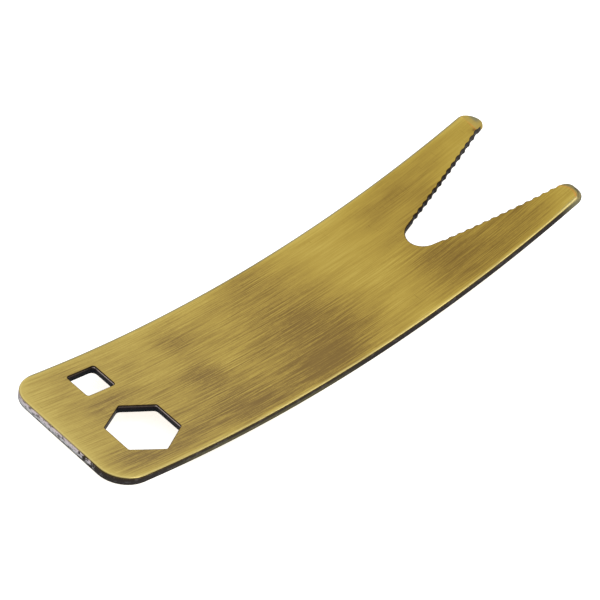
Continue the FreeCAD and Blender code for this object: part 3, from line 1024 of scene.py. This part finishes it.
def antique_brass():
    """Brushed antique brass on the faces, dark sheared walls, paler ground tips."""
    n = Nodes("antique_brass")
    at = surface_inputs(n)
    dark = darkness(n, at)
    wall_share = wall_share_at(n, at)
    face_rough = n.total(n.ramp(at.hairs, 0.3, 0.7, 0.30, 0.42), n.ramp(dark, 0.0, 1.0, 0, 0.12))
    wall_rough = n.ramp(at.speckle, 0.35, 0.65, 0.34, 0.55)
    shader = n.node("ShaderNodeBsdfPrincipled")
    shader.inputs["Metallic"].default_value = 1.0
    shader.inputs["Specular Tint"].default_value = GRAZING_TINT
    shader.inputs["Anisotropic"].default_value = BRUSHING
    shader.inputs["Anisotropic Rotation"].default_value = BRUSHING_TURN
    colour = n.mix(wall_share, face_colour(n, at, dark), wall_colour(n, at))
    n.feed(shader.inputs["Base Color"], colour)
    n.feed(shader.inputs["Roughness"], n.mix_values(wall_share, face_rough, wall_rough))
    n.feed(shader.inputs["Normal"], relief(n, at, wall_share))
    n.feed(shader.inputs["Tangent"], grain_direction(n))
    output = n.node("ShaderNodeOutputMaterial")
    n.feed(output.inputs["Surface"], shader.outputs[0])
    return n.material


# --- setting ------------------------------------------------------------------------------------


# The floor is a pale square of this size, a hair below the spanner's lowest point. It glows
# a little, so that it stays as pale as studio paper.
FLOOR_SIZE = 6.0
FLOOR_GAP = 0.00002
FLOOR_GREY = (0.85, 0.85, 0.85, 1)
FLOOR_GLOW = 0.75
WORLD_LIGHT = 0.665
WHITE = (1, 1, 1, 1)


def add_floor():
    """A plain pale floor at the height that the spanner's lowest point touches."""
    half = FLOOR_SIZE / 2
    level = cad_box[0].z - FLOOR_GAP
    corners = [(-half, -half, level), (half, -half, level), (half, half, level),
               (-half, half, level)]
    mesh = bpy.data.meshes.new("floor")
    mesh.from_pydata(corners, [], [(0, 1, 2, 3)])
    floor = bpy.data.objects.new("floor", mesh)
    bpy.context.scene.collection.objects.link(floor)
    n = Nodes("pale_floor")
    shader = n.node("ShaderNodeBsdfPrincipled")
    shader.inputs["Base Color"].default_value = FLOOR_GREY
    shader.inputs["Roughness"].default_value = 0.9
    shader.inputs["Specular IOR Level"].default_value = 0.1
    shader.inputs["Emission Color"].default_value = WHITE
    shader.inputs["Emission Strength"].default_value = FLOOR_GLOW
    output = n.node("ShaderNodeOutputMaterial")
    n.feed(output.inputs["Surface"], shader.outputs[0])
    mesh.materials.append(n.material)


def aim(thing, target, roll=0.0):
    """Turn a camera or lamp to look at a point, rolled about its own line of sight."""
    direction = Vector(target) - thing.location
    turn = direction.to_track_quat("-Z", "Y").to_matrix().to_4x4()
    place = Matrix.Translation(thing.location)
    thing.matrix_world = place @ turn @ Matrix.Rotation(roll, 4, "Z")


def add_softbox(name, place, size, power):
    """A rectangular area lamp that shines on the spanner and isn't seen itself."""
    lamp = bpy.data.lights.new(name, "AREA")
    lamp.shape = "RECTANGLE"
    lamp.size, lamp.size_y = size
    lamp.energy = power
    made = bpy.data.objects.new(name, lamp)
    bpy.context.scene.collection.objects.link(made)
    made.location = place
    made.visible_camera = False
    aim(made, (0, 0, 0))


def light_scene():
    """Soft studio light: a big box beyond the fork's far side, a small one on its near side."""
    world = bpy.data.worlds.new("studio")
    world.use_nodes = True
    background = world.node_tree.nodes["Background"]
    background.inputs["Color"].default_value = WHITE
    background.inputs["Strength"].default_value = WORLD_LIGHT
    bpy.context.scene.world = world
    add_softbox("key", (0.5, 0.6, 0.8), (1.3, 1.3), 4.1)
    add_softbox("edge", (0.36, -0.54, 0.72), (0.5, 0.45), 2.1)


# The camera stands on the near side, turned this far from square on towards the socket end, and
# looks at a point on the strip. The lens and the sensor are in millimetres.
CAMERA_AZIMUTH = math.radians(40.69)
CAMERA_ELEVATION = math.radians(44.33)
CAMERA_DISTANCE = 0.47663
CAMERA_ROLL = math.radians(0.64)
CAMERA_TARGET = (0.00072, 0.00231, 0.00227)
CAMERA_LENS = 166.55
CAMERA_SENSOR = 36.0
CAMERA_CLIP = 0.01


def add_camera():
    """The camera, on the socket end's side and above, with a long lens."""
    lens = bpy.data.cameras.new("camera")
    lens.lens = CAMERA_LENS
    lens.sensor_width = CAMERA_SENSOR
    lens.clip_start = CAMERA_CLIP
    camera = bpy.data.objects.new("camera", lens)
    bpy.context.scene.collection.objects.link(camera)
    level = CAMERA_DISTANCE * math.cos(CAMERA_ELEVATION)
    offset = Vector((
        -level * math.sin(CAMERA_AZIMUTH),
        -level * math.cos(CAMERA_AZIMUTH),
        CAMERA_DISTANCE * math.sin(CAMERA_ELEVATION),
    ))
    camera.location = Vector(CAMERA_TARGET) + offset
    aim(camera, CAMERA_TARGET, -CAMERA_ROLL)
    bpy.context.scene.camera = camera


spanner = build_spanner()
spanner.data.materials.append(antique_brass())
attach(spanner, "root")
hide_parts("spanner_plate")
add_floor()
light_scene()
add_camera()
bpy.context.scene.view_settings.view_transform = "Standard"
